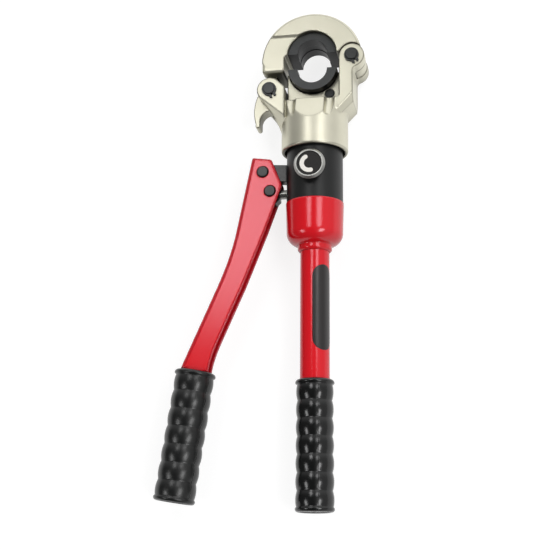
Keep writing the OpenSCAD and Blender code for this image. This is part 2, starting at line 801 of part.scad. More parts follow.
module pump_body() color(body_black) difference() {
    union() {
        on_y(y_nipple) rotate_extrude() polygon([
            [0, 0], [nipple_r, 0], [nipple_r, nipple_len], [spigot_r, nipple_len],
            [spigot_r, nipple_len + spigot_len], [body_r, nipple_len + spigot_len],
            [body_r, y_nose - y_collar + nipple_len + spigot_len],
            [0, y_nose - y_collar + nipple_len + spigot_len]]);
        plate(2 * lug_half) lug();
        on_z([0, y_knob]) cylinder(r = boss_knob_r, h = boss_knob_h - knob_gap);
    }
    on_y(y_bore) cylinder(r = piston_r + run, h = far);
    on_y(y_nose - swivel_down) wire_ring(body_r, groove_wire + fit);
    on_y(y_nose - oring_down) wire_ring(body_r - seal_wire, seal_wire + fit);
    on_y(y_collar - seal_up_collar) wire_ring(spigot_r - seal_wire, seal_wire + fit);
    on_z(pivot, -far) cylinder(r = lever_pin_r + run, h = 2 * far);
    // plunger bore with its gland
    on_x(-far, y_plunger) cylinder(r = plunger_r + run, h = far + chamber_end);
    on_x(-far, y_plunger)
        cylinder(r = gland_r + fit, h = far - body_r + gland_sink + gland_h + plunger_seal_h);
    // feed from the reservoir, suction and delivery valves
    on_y(y_nipple - over) cylinder(r = nipple_bore, h = y_feed - y_nipple + over + nipple_bore);
    on_x(0, y_feed) cylinder(r = nipple_bore, h = valve_x);
    on_y(y_feed, valve_x) cylinder(r = port_r, h = y_plunger - y_feed);
    on_y(y_plunger - suction_drop, valve_x) cylinder(r = valve_r, h = suction_drop);
    on_y(y_plunger, valve_x) cylinder(r = port_r, h = delivery_rise + over);
    on_y(y_plunger + delivery_rise, valve_x) cylinder(r = valve_r, h = y_bore - y_plunger);
    // release valve at the front, with its port from the ram and its return to the reservoir
    on_z([0, y_knob], spindle_end) cylinder(r = spindle_r + run, h = far);
    on_z([0, y_knob], -spindle_r) cylinder(r = port_r, h = spindle_r + spindle_end + over);
    on_y(relief_y, 0, -spindle_r) cylinder(r = port_r, h = y_bore - relief_y + over);
    on_z([0, y_feed]) cylinder(r = port_r, h = spindle_end + spindle_point / 2);
    on_y(y_feed, 0, spindle_end + spindle_point / 2) cylinder(r = port_r, h = y_knob - y_feed);
    // relief valve at the back
    on_z([0, relief_y], relief_seat_z - over) cylinder(r = port_r, h = over - spindle_r - relief_seat_z);
    on_z([0, relief_y], -far) cylinder(r = relief_r + run, h = far + relief_seat_z);
}

module swivel_ring() color(steel) on_y(y_nose - swivel_down) wire_ring(body_r, groove_wire);
module swivel_o_ring() color(rubber_black) on_y(y_nose - oring_down)
    wire_ring(body_r - seal_wire, seal_wire);
module collar_seal() color(rubber_black) on_y(y_collar - seal_up_collar)
    wire_ring(spigot_r - seal_wire, seal_wire);

// Plunger with a slotted eye; the slot lets the drive pin rise and fall
module plunger() color(steel) difference() {
    union() {
        on_x(drive[0], y_plunger) cylinder(r = plunger_r, h = plunger_tip - drive[0]);
        plate(2 * eye_half) polygon([
            drive + [-eye_left, eye_up], drive + [eye_right, eye_up],
            drive + [eye_right, -eye_down + eye_cut], drive + [eye_right - eye_cut, -eye_down],
            drive + [-eye_left + eye_cut, -eye_down], drive + [-eye_left, -eye_down + eye_cut]]);
    }
    slot_r = lever_pin_r + slot_play;
    for (p = [pin_rise, -pin_fall]) on_z(drive + [0, p], -far) cylinder(r = slot_r, h = 2 * far);
    slab(drive - [slot_r, pin_fall], drive + [slot_r, pin_rise], 2 * far);
}

module plunger_gland() color(brass) on_x(-body_r + gland_sink, y_plunger) difference() {
    cylinder(r = gland_r, h = gland_h);
    translate([0, 0, -over]) cylinder(r = plunger_r + run, h = gland_h + 2 * over);
}

module plunger_seal() color(rubber_black) on_x(fit - body_r + gland_sink + gland_h, y_plunger) difference() {
    cylinder(r = gland_r - fit, h = plunger_seal_h - 2 * fit);
    translate([0, 0, -over]) cylinder(r = plunger_r + run, h = plunger_seal_h + 2 * over);
}

module suction_ball() color(steel) on_y(y_plunger - suction_drop + seat_rise, valve_x) sphere(ball_r);
module delivery_ball() color(steel) on_y(y_plunger + delivery_rise + seat_rise, valve_x) sphere(ball_r);

// A small spring from a valve ball on its seat to its stop
module valve_spring(seat, stop) {
    foot = seat + seat_rise + sqrt(ball_r * ball_r - pow(valve_spring_r - valve_wire / 2, 2)) + run;
    on_y(foot, valve_x) coil(valve_spring_r, valve_wire, stop - run - foot, valve_turns);
}

module suction_spring() color(steel) valve_spring(y_plunger - suction_drop, suction_stop);
module delivery_spring() color(steel) valve_spring(y_plunger + delivery_rise, delivery_stop);

// A pierced stop pressed in over a valve
module valve_sleeve(y) on_y(y, valve_x) difference() {
    cylinder(r = valve_r - fit, h = sleeve_h);
    translate([0, 0, -over]) cylinder(r = sleeve_bore, h = sleeve_h + 2 * over);
}

module suction_sleeve() color(brass) valve_sleeve(suction_stop);
module delivery_sleeve() color(brass) valve_sleeve(delivery_stop);

module release_spindle() color(steel) on_z([0, y_knob], spindle_end + run) rotate_extrude() {
    top = knob_face - face_sink - bezel_h - spindle_end;
    g = spindle_seal_z - spindle_end;
    difference() {
        polygon([[0, 0], [port_r, 0], [spindle_r, spindle_point], [spindle_r, top], [0, top]]);
        translate([spindle_r, g]) circle(spindle_groove + fit, $fn = 32);
    }
}

module spindle_seal() color(rubber_black) on_z([0, y_knob], spindle_seal_z + run) intersection() {
    wire_ring(spindle_r, spindle_groove);
    translate([0, 0, -spindle_groove]) cylinder(r = spindle_r, h = 2 * spindle_groove);
}

module release_knob() color(body_black) difference() {
    on_z([0, y_knob], boss_knob_h) cylinder(r = knob_body_r, h = knob_face - boss_knob_h - face_sink);
    on_z([0, y_knob], boss_knob_h - over)
        cylinder(r = spindle_r + fit, h = knob_face - boss_knob_h - face_sink - bezel_h + over + 2 * run);
}

module release_knob_bezel() color(steel) on_z([0, y_knob], knob_face) rotate_extrude() polygon([
    [knob_body_r + fit, -bezel_h], [knob_r, -bezel_h], [knob_r, -bezel_flank],
    [knob_body_r + bezel_rim, 0], [knob_body_r + fit, 0]]);

module relief_poppet() color(steel) on_z([0, relief_y], relief_seat_z - pass - relief_ball_h) {
    cylinder(r = relief_r - run, h = relief_ball_h - relief_cone);
    translate([0, 0, relief_ball_h - relief_cone])
        cylinder(r1 = relief_r - run, r2 = port_r, h = relief_cone);
}

module relief_spring() color(steel)
    on_z([0, relief_y], relief_seat_z - pass - relief_ball_h - run - relief_spring_l)
        coil(relief_r - valve_wire, valve_wire, relief_spring_l, valve_turns);

module relief_screw() color(body_black) {
    low = -body_r + pass;
    top = relief_seat_z - pass - relief_ball_h - 2 * run - relief_spring_l;
    difference() {
        on_z([0, relief_y], low) cylinder(r = relief_r, h = top - low);
        on_z([0, relief_y], low - over) cylinder(r = relief_hex, h = relief_hex_h + over, $fn = 6);
    }
}

module reservoir_collar() color(paint_red) on_y(y_tube) rotate_extrude() difference() {
    low_r = collar_r - collar_taper;
    shoulder = min(collar_round, low_r / 2);
    foot = neck_len;
    top = neck_len + collar_len;
    union() {
        polygon([[0, 0], [neck_r - neck_edge, 0], [neck_r, neck_edge], [neck_r, foot + shoulder],
            [0, foot + shoulder]]);
        translate([low_r - shoulder, foot + shoulder]) circle(shoulder);
        translate([0, foot]) square([low_r - shoulder, shoulder]);
        polygon([[0, foot + shoulder], [low_r, foot + shoulder], [collar_r, top], [0, top]]);
    }
    translate([0, top - spigot_len]) square([spigot_r + fit, spigot_len + over]);
    translate([0, -over]) square([nipple_r + nipple_gap, top + over]);
    translate([0, -over]) square([tube_r + fit, tube_in + over]);
}

module main_tube() color(paint_red) on_y(y_grip_end) difference() {
    len = y_tube + tube_in - fit - y_grip_end;
    cylinder(r = tube_r, h = len);
    translate([0, 0, -over]) cylinder(r = tube_r - tube_wall, h = len + 2 * over);
}

// Rubber bag for the oil, stretched over the nipple
module oil_bladder() color(rubber_black) {
    on_y(y_nipple - bladder_len) rotate_extrude() {
        top = bladder_len + bladder_neck;
        wide = bladder_len - bladder_cone;
        in_r = bladder_r - bladder_wall;
        polygon([[0, 0], [bladder_r - bladder_wall, 0], [bladder_r, bladder_wall], [bladder_r, wide],
            [nipple_r + bladder_wall, bladder_len], [nipple_r + bladder_wall, top], [nipple_r + fit, top],
            [nipple_r + fit, bladder_len], [in_r, wide], [in_r, bladder_wall], [0, bladder_wall]]);
    }
}

module bladder_clamp() color(steel) on_y(y_nipple + bladder_neck / 4) difference() {
    cylinder(r = nipple_r + bladder_wall + fit + clamp_t, h = clamp_h);
    translate([0, 0, -over]) cylinder(r = nipple_r + bladder_wall + fit, h = clamp_h + 2 * over);
}

module tube_end_plug() color(steel) on_y(y_grip_end) cylinder(r = tube_r - tube_wall - fit, h = plug_h);

// Half section of a grip: a row of lobes between two rolled flanges, closed below
module grip_section(len, swell) {
    pitch = len / grip_lobes;
    arc = (pitch * pitch / 4 + notch_t * notch_t) / (2 * notch_t);
    for (i = [0 : grip_lobes - 1]) intersection() {
        r = lobe_r + swell + lobe_growth * (grip_lobes - 1 - i) / (grip_lobes - 1);
        translate([r - arc, (i + 0.5) * pitch]) circle(arc, $fn = 128);
        translate([0, i * pitch]) square([r, pitch]);
    }
    for (y = [0, len]) {
        translate([flange_r + swell - roll_r, y]) circle(roll_r);
        translate([0, y - roll_r]) square([flange_r + swell - roll_r, 2 * roll_r]);
    }
}

module main_grip() color(rubber_black) on_y(y_grip_end) difference() {
    rotate_extrude() grip_section(grip_len, 0);
    translate([0, 0, -fit]) cylinder(r = tube_r + fit, h = grip_len + far);
}

// A point in the lever grip's own frame, which has its upper flange at the origin
function grip_point(x, y) = grip_top + [x * cos(lever_lean) + y * sin(lever_lean),
    y * cos(lever_lean) - x * sin(lever_lean)];
module on_lever_grip() translate([grip_top[0], grip_top[1], 0]) rotate(-lever_lean) children();

// A point of the lever from its share of the drop, and the left edge from the top to the grip
function lever_at(share) = pivot + lever_drop * share;
function left_edge() = concat([for (p = left_shares) lever_at(p)],
    bend(lever_at(knee_shares[0]), lever_at(knee_shares[1]), lever_at(knee_shares[2]), edge_steps),
    [grip_point(-tang_share * tang_w, roll_r + fit)]);

// The right edge from the grip to the top
function right_edge() = concat([grip_point(tang_share * tang_w, roll_r + fit)],
    bend(lever_at(heel_shares[2]), lever_at(heel_shares[1]), lever_at(heel_shares[0]), edge_steps),
    [for (i = [len(right_shares) - 1 : -1 : 0]) lever_at(right_shares[i])]);

module lever_side() {
    polygon(concat(left_edge(), right_edge()));
    on_lever_grip() translate([-tang_w / 2, -tang_len]) square([tang_w, tang_len + 2 * roll_r]);
}

module lever() color(paint_red) difference() {
    plate(2 * lever_half) lever_side();
    // the channel is open above and towards the handle tube
    plate(2 * (lever_half - sheet_t)) {
        translate([sheet_t, 0]) polygon(concat([lever_at(left_shares[0]) + [0, over]], left_edge(),
            [grip_point(far, roll_r), [far, lever_at(left_shares[0])[1] + over]]));
        on_lever_grip() translate([-tang_w / 2 + sheet_t, -tang_len - over])
            square([tang_w, tang_len + 3 * roll_r]);
    }
    for (at = [pivot, drive]) on_z(at, -far) cylinder(r = lever_pin_r + fit, h = 2 * far);
}

// A headed pin through both sides of the lever
module lever_pin(at) on_z(at) rotate_extrude() polygon([for (s = [-1, 1]) each
    let (z = lever_half + fit, e = z + head_h, p = [[0, e], [lever_head_r - head_edge, e],
        [lever_head_r, e - head_edge], [lever_head_r, z], [lever_pin_r, z]])
    s < 0 ? [for (q = p) [q[0], -q[1]]] : [for (i = [4 : -1 : 0]) p[i]]]);

module lever_pivot_pin() color(die_black) lever_pin(pivot);
module drive_pin() color(die_black) lever_pin(drive);

module lever_grip() color(rubber_black) on_lever_grip() difference() {
    on_y(-lever_grip_len) rotate_extrude() grip_section(lever_grip_len, lever_swell);
    slab([-tang_w / 2 - fit, -tang_len - fit], [tang_w / 2 + fit, far], 2 * (lever_half + fit));
}

head_fork();
yoke();
yoke_pin();
yoke_pin_clips();
latch();
latch_pin();
latch_pin_clips();
latch_spring();
upper_die();
upper_die_detent();
lower_die();
die_holder();
die_holder_screw();
die_release_pin();
die_release_spring();
die_pin_plug();
ram_piston();
ram_seal();
ram_return_spring();
pump_body();
swivel_ring();
swivel_o_ring();
plunger();
plunger_gland();
plunger_seal();
suction_ball();
suction_spring();
suction_sleeve();
delivery_ball();
delivery_spring();
delivery_sleeve();
release_spindle();
spindle_seal();
release_knob();
release_knob_bezel();
relief_poppet();
relief_spring();
relief_screw();
reservoir_collar();
collar_seal();
main_tube();
oil_bladder();
bladder_clamp();
tube_end_plug();
main_grip();
lever();
lever_pivot_pin();
drive_pin();
lever_grip();
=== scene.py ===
import json
import math

import bpy
from mathutils import Matrix, Vector

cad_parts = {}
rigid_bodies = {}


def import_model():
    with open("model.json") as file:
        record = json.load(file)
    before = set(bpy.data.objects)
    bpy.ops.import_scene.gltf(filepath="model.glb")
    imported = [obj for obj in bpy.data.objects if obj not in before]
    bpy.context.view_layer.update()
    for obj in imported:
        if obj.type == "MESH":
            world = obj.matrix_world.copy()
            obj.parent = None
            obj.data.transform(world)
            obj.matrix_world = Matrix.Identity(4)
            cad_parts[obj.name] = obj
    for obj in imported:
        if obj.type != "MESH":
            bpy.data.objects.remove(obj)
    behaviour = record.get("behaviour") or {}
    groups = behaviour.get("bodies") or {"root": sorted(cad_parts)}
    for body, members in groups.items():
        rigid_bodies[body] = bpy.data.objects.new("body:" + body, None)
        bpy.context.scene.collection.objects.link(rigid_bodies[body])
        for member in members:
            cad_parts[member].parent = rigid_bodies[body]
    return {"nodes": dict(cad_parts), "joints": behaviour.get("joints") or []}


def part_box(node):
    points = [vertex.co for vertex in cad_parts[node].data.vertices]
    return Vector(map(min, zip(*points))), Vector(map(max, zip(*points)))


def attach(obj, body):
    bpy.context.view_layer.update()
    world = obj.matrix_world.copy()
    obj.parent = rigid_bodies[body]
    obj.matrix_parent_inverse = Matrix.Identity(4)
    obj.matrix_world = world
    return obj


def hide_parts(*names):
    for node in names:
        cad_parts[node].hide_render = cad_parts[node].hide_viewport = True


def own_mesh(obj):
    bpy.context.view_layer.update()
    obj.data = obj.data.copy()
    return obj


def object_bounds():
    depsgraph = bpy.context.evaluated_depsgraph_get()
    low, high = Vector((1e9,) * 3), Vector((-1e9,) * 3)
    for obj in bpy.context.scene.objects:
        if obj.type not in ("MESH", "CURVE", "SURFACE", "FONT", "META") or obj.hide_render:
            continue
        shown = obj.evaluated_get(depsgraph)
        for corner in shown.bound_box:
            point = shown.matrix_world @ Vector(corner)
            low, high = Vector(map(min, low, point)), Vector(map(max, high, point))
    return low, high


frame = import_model()
cad_low, cad_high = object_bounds()

# Head: fork, yoke, latch and die holder.
# Steel forgings, shot-blasted and then nickel-plated to a warm satin. The yoke hinges between the
# fork's right ears, the latch between the left ears holds its arm, and the holder rides on the ram.
MM = 0.001


def linear(hex_code):
    """Linear colour with alpha from an sRGB hex value."""
    parts = [int(hex_code[i:i + 2], 16) / 255 for i in (1, 3, 5)]
    return tuple(p / 12.92 if p <= 0.04045 else ((p + 0.055) / 1.055) ** 2.4 for p in parts) + (1,)


def add(tree, kind, inputs=None, **settings):
    """Adds a shader node; an input takes a value or another node's output."""
    made = tree.nodes.new("ShaderNode" + kind)
    for key, value in settings.items():
        setattr(made, key, value)
    for key, value in (inputs or {}).items():
        if isinstance(value, bpy.types.NodeSocket):
            tree.links.new(value, made.inputs[key])
        else:
            made.inputs[key].default_value = value
    return made


def new_material(name):
    """A material with an empty node tree, and the place on the part that its patterns follow."""
    material = bpy.data.materials.new(name)
    material.use_nodes = True
    material.node_tree.nodes.clear()
    return material, material.node_tree, add(material.node_tree, "TexCoord").outputs["Object"]


def front_or_back(tree):
    """How squarely a face looks to the part's front or back: 1 on its flats, 0 on its walls."""
    outward = add(tree, "SeparateXYZ", {"Vector": add(tree, "TexCoord").outputs["Normal"]})
    return add(tree, "Math", {0: outward.outputs["Z"]}, operation="ABSOLUTE").outputs[0]


# Satin nickel over a shot-blasted forging: a soft warm metal with a fine pebbled grain and slow
# clouds in the plating. Its sharp edges are painted darker as painted shade, for the dark that a
# rounded edge reflects, and its creases and inner walls are painted dark as shade, while the open
# front and back faces are left lighter.
# Shot marks are about 0.3 mm across, drawn at 0.8 mm to show.
SHOT_MARK = 0.8 * MM
SHOT_DEPTH = 0.1 * MM
PLATING_CLOUD = 16 * MM
CREASE_REACH = 30 * MM
FACE_OPENNESS = 0.5
nickel, tree, place = new_material("satin_nickel_on_blasted_forging")
cloud = add(tree, "TexNoise", {"Vector": place, "Scale": 1 / PLATING_CLOUD, "Detail": 3.0})
shot = add(tree, "TexNoise", {"Vector": place, "Scale": 1 / SHOT_MARK, "Detail": 2.0})
plated = add(tree, "MixRGB", {"Fac": cloud.outputs["Fac"], "Color1": linear("#d0cdba"),
                              "Color2": linear("#dddac8")})
# Painted shade: sharp edges darker, standing for the dark that a rounded edge reflects.
pointed = add(tree, "NewGeometry").outputs["Pointiness"]
edge_shade = add(tree, "MapRange", {"Value": pointed, "From Min": 0.506, "From Max": 0.536, "To Max": 0.8})
with_edge_shade = add(tree, "MixRGB", {"Fac": edge_shade.outputs["Result"], "Color1": plated.outputs["Color"],
                             "Color2": linear("#69665a")})
# Painted shade: creases, recesses and inner walls darker, the open front and back faces lighter.
crease = add(tree, "AmbientOcclusion", {"Distance": CREASE_REACH}, samples=6)
openness = add(tree, "Math", {0: front_or_back(tree), 1: FACE_OPENNESS, 2: crease.outputs["AO"]},
              operation="MULTIPLY_ADD")
painted_crease_shade = add(tree, "MapRange", {"Value": openness.outputs[0], "From Min": 0.3, "From Max": 1.0,
                              "To Min": 0.92, "To Max": 0.0})
tone = add(tree, "MixRGB", {"Fac": painted_crease_shade.outputs["Result"], "Color1": with_edge_shade.outputs["Color"],
                            "Color2": linear("#45443c")})
gloss = add(tree, "MapRange", {"Value": shot.outputs["Fac"], "To Min": 0.36, "To Max": 0.46})
pebbled = add(tree, "Bump", {"Height": shot.outputs["Fac"], "Strength": 0.12, "Distance": SHOT_DEPTH})
metal = add(tree, "BsdfPrincipled", {
    "Base Color": tone.outputs["Color"], "Metallic": 1.0, "Roughness": gloss.outputs["Result"],
    "Normal": pebbled.outputs["Normal"]})
add(tree, "OutputMaterial", {"Surface": metal.outputs["BSDF"]})


def stand_in(name, node, body, material):
    """A copy of a CAD node in another material, which stands for the node."""
    made = bpy.data.objects.new(name, frame["nodes"][node].data.copy())
    made.data.materials.clear()
    made.data.materials.append(material)
    bpy.context.scene.collection.objects.link(made)
    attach(made, body)
    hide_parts(node)
    return made


def softened(name, node, body, grain, rounds, material):
    """A stand-in with its edges worn round, on a mesh of the given grain."""
    made = stand_in(name, node, body, material)
    skin = made.modifiers.new("skin", "REMESH")
    skin.mode = "VOXEL"
    skin.voxel_size = grain
    skin.use_smooth_shade = True
    soften = made.modifiers.new("soften", "SMOOTH")
    soften.iterations = rounds
    return made


# The grain is the size of the mesh's squares, and each round of smoothing wears the edges further.
FORGING_GRAIN = 0.6 * MM
FORGING_ROUNDS = 7
for part, body in (("head_fork", "head"), ("yoke", "yoke"), ("die_holder", "ram")):
    softened(part + "_forged", part, body, FORGING_GRAIN, FORGING_ROUNDS, nickel)

# The latch's mesh is finer, so that the pocket in it keeps clear of the spring as it swings.
LATCH_GRAIN = 0.5 * MM
LATCH_ROUNDS = 10
softened("latch_forged", "latch", "latch", LATCH_GRAIN, LATCH_ROUNDS, nickel)

# Dies, pins, clips and plunger gland.
# Tool steel turned and milled to size, then blackened in a hot oxide bath. The dies seat in the
# yoke and the holder; the pins are pressed through the ears and the lever and kept by clips.
CUTTER_LINE = 0.5 * MM
CUTTER_DEPTH = 0.05 * MM
OXIDE_EDGE = 0.35 * MM


def dress(material, *names):
    """Gives CAD nodes a material."""
    for name in names:
        for held in frame["nodes"][name].material_slots:
            held.material = material


# Black oxide leaves a near-black metal with a dull sheen. Its front and back faces are painted a
# lighter dark grey and its walls and bore darker, as painted shade. Its cutter lines are about
# 0.1 mm apart, drawn at 0.5 mm to show.
oxide, tree, place = new_material("black_oxide_tool_steel")
line = add(tree, "TexNoise", {"Vector": place, "Scale": 1 / CUTTER_LINE, "Detail": 1.0})
bath = add(tree, "TexNoise", {"Vector": place, "Scale": 1 / PLATING_CLOUD, "Detail": 4.0})
bath_tone = add(tree, "MixRGB", {"Fac": bath.outputs["Fac"], "Color1": linear("#3b3c3c"),
                               "Color2": linear("#4d4e4e")})
# Painted shade: walls and the bore darker than the front and back faces.
flats_lit = add(tree, "MapRange", {"Value": front_or_back(tree), "From Min": 0.5, "From Max": 0.9})
walls_shaded = add(tree, "MixRGB", {"Fac": flats_lit.outputs["Result"], "Color1": linear("#161717"),
                             "Color2": bath_tone.outputs["Color"]})
# Painted shade: creases and recesses darker still.
crease = add(tree, "AmbientOcclusion", {"Distance": CREASE_REACH}, samples=6)
oxide_crease_shade = add(tree, "MapRange", {"Value": crease.outputs["AO"], "From Min": 0.15, "From Max": 0.8,
                              "To Min": 0.97, "To Max": 0.0})
tone = add(tree, "MixRGB", {"Fac": oxide_crease_shade.outputs["Result"], "Color1": walls_shaded.outputs["Color"],
                            "Color2": linear("#060606")})
gloss = add(tree, "MapRange", {"Value": line.outputs["Fac"], "To Min": 0.3, "To Max": 0.46})
edge = add(tree, "Bevel", {"Radius": OXIDE_EDGE}, samples=4)
cut = add(tree, "Bump", {"Height": line.outputs["Fac"], "Strength": 0.08, "Distance": CUTTER_DEPTH,
                         "Normal": edge.outputs["Normal"]})
metal = add(tree, "BsdfPrincipled", {
    "Base Color": tone.outputs["Color"], "Metallic": 0.9, "Roughness": gloss.outputs["Result"],
    "Normal": cut.outputs["Normal"]})
add(tree, "OutputMaterial", {"Surface": metal.outputs["BSDF"]})
dress(oxide, "upper_die", "lower_die", "yoke_pin", "latch_pin", "yoke_pin_clips",
      "latch_pin_clips", "die_release_pin", "die_pin_plug", "lever_pivot_pin", "drive_pin",
      "plunger_gland")

# Ram and valve steel inside the tool.
# Hardened steel, ground bright, with the bearing balls polished; the die holder is screwed to the
# ram and the balls sit in their sleeves.
GRINDING_LINE = 0.4 * MM

# Ground steel is a cool bright metal with a mirror-like blur. Its grinding lines are far finer than
# 0.1 mm, drawn at 0.4 mm to show.
bright, tree, place = new_material("ground_bright_steel")
line = add(tree, "TexNoise", {"Vector": place, "Scale": 1 / GRINDING_LINE, "Detail": 1.0})
gloss = add(tree, "MapRange", {"Value": line.outputs["Fac"], "To Min": 0.22, "To Max": 0.32})
edge = add(tree, "Bevel", {"Radius": OXIDE_EDGE}, samples=4)
metal = add(tree, "BsdfPrincipled", {
    "Base Color": linear("#c6c5c1"), "Metallic": 1.0, "Roughness": gloss.outputs["Result"],
    "Normal": edge.outputs["Normal"]})
add(tree, "OutputMaterial", {"Surface": metal.outputs["BSDF"]})
dress(bright, "ram_piston", "upper_die_detent", "die_holder_screw", "swivel_ring",
      "release_spindle", "suction_ball", "delivery_ball", "relief_poppet", "relief_screw",
      "tube_end_plug")

# Pump plunger.
# A hardened steel rod, ground bright where it runs through its seal, with a flat slotted eye that
# takes the lever's drive pin and keeps the black of the oxide bath.
EYE_WIDTH = 16.6 * MM
eye_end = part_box("plunger")[0][0] + EYE_WIDTH

# The eye is a dull near-black, and the rod a bright blur of what is round it.
plunger_steel, tree, place = new_material("ground_steel_rod_with_black_eye")
along = add(tree, "SeparateXYZ", {"Vector": place}).outputs["X"]
ground = add(tree, "MapRange", {"Value": along, "From Min": eye_end, "From Max": eye_end + OXIDE_EDGE})
tone = add(tree, "MixRGB", {"Fac": ground.outputs["Result"], "Color1": linear("#121313"),
                            "Color2": linear("#868682")})
line = add(tree, "TexNoise", {"Vector": place, "Scale": 1 / GRINDING_LINE, "Detail": 1.0})
gloss = add(tree, "MapRange", {"Value": line.outputs["Fac"], "To Min": 0.2, "To Max": 0.34})
edge = add(tree, "Bevel", {"Radius": OXIDE_EDGE}, samples=4)
metal = add(tree, "BsdfPrincipled", {
    "Base Color": tone.outputs["Color"], "Metallic": 1.0, "Roughness": gloss.outputs["Result"],
    "Normal": edge.outputs["Normal"]})
add(tree, "OutputMaterial", {"Surface": metal.outputs["BSDF"]})
dress(plunger_steel, "plunger")

# Springs.
# Patented steel wire, wound cold and then stress-relieved in an oven. Each spring stands between a
# fixed seat and the piece that it pushes back.
FILM_PATCH = 3 * MM

# The oven leaves a thin straw-grey film on the wire, which dulls it in soft patches.
spring_steel, tree, place = new_material("drawn_spring_wire")
film = add(tree, "TexNoise", {"Vector": place, "Scale": 1 / FILM_PATCH, "Detail": 2.0})
tone = add(tree, "MixRGB", {"Fac": film.outputs["Fac"], "Color1": linear("#7f7d78"),
                            "Color2": linear("#96948e")})
metal = add(tree, "BsdfPrincipled", {
    "Base Color": tone.outputs["Color"], "Metallic": 1.0, "Roughness": 0.34})
add(tree, "OutputMaterial", {"Surface": metal.outputs["BSDF"]})
dress(spring_steel, "latch_spring")

# A spring under a sliding piece gets a stand-in in spring wire, with a mesh of its own, on the joint's
# parent.
for joint in [j for j in frame["joints"] if j["type"] == "slide"]:
    for closing in joint.get("deforming_nodes", []):
        node = closing["node"]
        way = Vector(joint["axis"])
        coil = stand_in(node + "_coil", node, joint["parent"], spring_steel)
        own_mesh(coil)

# Valve sleeves and bladder clamp.
# Brass bar, turned to size. The sleeves are pressed into the body's bores, and the clamp is squeezed
# round the bladder's neck.

# Brass is a warm yellow metal, with the same fine cutter lines as the dies and a soft shine.
brass, tree, place = new_material("turned_brass")
lathe = add(tree, "TexNoise", {"Vector": place, "Scale": 1 / CUTTER_LINE, "Detail": 1.0})
gloss = add(tree, "MapRange", {"Value": lathe.outputs["Fac"], "To Min": 0.26, "To Max": 0.38})
metal = add(tree, "BsdfPrincipled", {
    "Base Color": linear("#c9a55c"), "Metallic": 1.0, "Roughness": gloss.outputs["Result"]})
add(tree, "OutputMaterial", {"Surface": metal.outputs["BSDF"]})
dress(brass, "suction_sleeve", "delivery_sleeve", "bladder_clamp")

# Seals and oil bladder.
# Nitrile rubber, moulded hot. The seals are stretched into their grooves, and the bladder hangs in
# the tube from its clamp.
BLOOM_PATCH = 2 * MM

# Nitrile is matt and black, with a faint grey bloom that comes to its surface in patches.
nitrile, tree, place = new_material("moulded_nitrile_rubber")
bloom = add(tree, "TexNoise", {"Vector": place, "Scale": 1 / BLOOM_PATCH, "Detail": 3.0})
tone = add(tree, "MixRGB", {"Fac": bloom.outputs["Fac"], "Color1": linear("#191918"),
                            "Color2": linear("#242422")})
rubber = add(tree, "BsdfPrincipled", {"Base Color": tone.outputs["Color"], "Roughness": 0.6})
add(tree, "OutputMaterial", {"Surface": rubber.outputs["BSDF"]})
dress(nitrile, "ram_seal", "swivel_o_ring", "plunger_seal", "spindle_seal", "collar_seal",
      "oil_bladder")

# Pump body.
# A steel block, turned and milled, with a lug for the lever on its left; sprayed and baked in
# satin black enamel. The head swivels on its upper end.
ORANGE_PEEL = 2 * MM
PEEL_DEPTH = 0.1 * MM
BODY_EDGE = 0.8 * MM
body_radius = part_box("pump_body")[1][0]

# The enamel gives a soft sheen over a faint orange peel, about 2 mm from bump to bump, and lies
# smoother on the lug's milled front and back than on the turned body.
black_enamel, tree, place = new_material("satin_black_baked_enamel")
peel = add(tree, "TexNoise", {"Vector": place, "Scale": 1 / ORANGE_PEEL, "Detail": 2.0})
across = add(tree, "SeparateXYZ", {"Vector": place}).outputs["X"]
lug = add(tree, "MapRange", {"Value": across, "From Min": -body_radius - BODY_EDGE,
                             "From Max": -body_radius, "To Min": 0.16, "To Max": 0.0})
milled = add(tree, "Math", {0: lug.outputs["Result"], 1: front_or_back(tree)}, operation="MULTIPLY")
ripple = add(tree, "MapRange", {"Value": peel.outputs["Fac"], "To Min": 0.36, "To Max": 0.46})
gloss = add(tree, "Math", {0: ripple.outputs["Result"], 1: milled.outputs[0]}, operation="SUBTRACT")
edge = add(tree, "Bevel", {"Radius": BODY_EDGE}, samples=6)
skin = add(tree, "Bump", {"Height": peel.outputs["Fac"], "Strength": 0.1, "Distance": PEEL_DEPTH,
                          "Normal": edge.outputs["Normal"]})
paint = add(tree, "BsdfPrincipled", {
    "Base Color": linear("#101111"), "Roughness": gloss.outputs[0], "IOR": 1.43,
    "Normal": skin.outputs["Normal"]})
add(tree, "OutputMaterial", {"Surface": paint.outputs["BSDF"]})
dress(black_enamel, "pump_body")

# Release knob: bezel, grained face and turn sign.
# A turned aluminium ring holds a moulded face with a coarse grain; the white turn sign is printed
# on it as a thick raised ink.
BEZEL_LINE = 0.3 * MM
DULL_PATCH = 5 * MM

# Turned aluminium is a pale metal with a silky shine, which fingers have dulled in patches. Its
# lathe lines are about 0.1 mm apart, drawn at 0.3 mm to show.
aluminium, tree, place = new_material("satin_turned_aluminium")
lathe = add(tree, "TexNoise", {"Vector": place, "Scale": 1 / BEZEL_LINE, "Detail": 1.0})
gloss = add(tree, "MapRange", {"Value": lathe.outputs["Fac"], "To Min": 0.25, "To Max": 0.36})
dulled = add(tree, "TexNoise", {"Vector": place, "Scale": 1 / DULL_PATCH, "Detail": 4.0})
tone = add(tree, "MixRGB", {"Fac": dulled.outputs["Fac"], "Color1": linear("#7f7f7c"),
                            "Color2": linear("#b4b4b0")})
edge = add(tree, "Bevel", {"Radius": OXIDE_EDGE}, samples=4)
metal = add(tree, "BsdfPrincipled", {
    "Base Color": tone.outputs["Color"], "Metallic": 1.0, "Roughness": gloss.outputs["Result"],
    "Normal": edge.outputs["Normal"]})
add(tree, "OutputMaterial", {"Surface": metal.outputs["BSDF"]})
dress(aluminium, "release_knob_bezel")

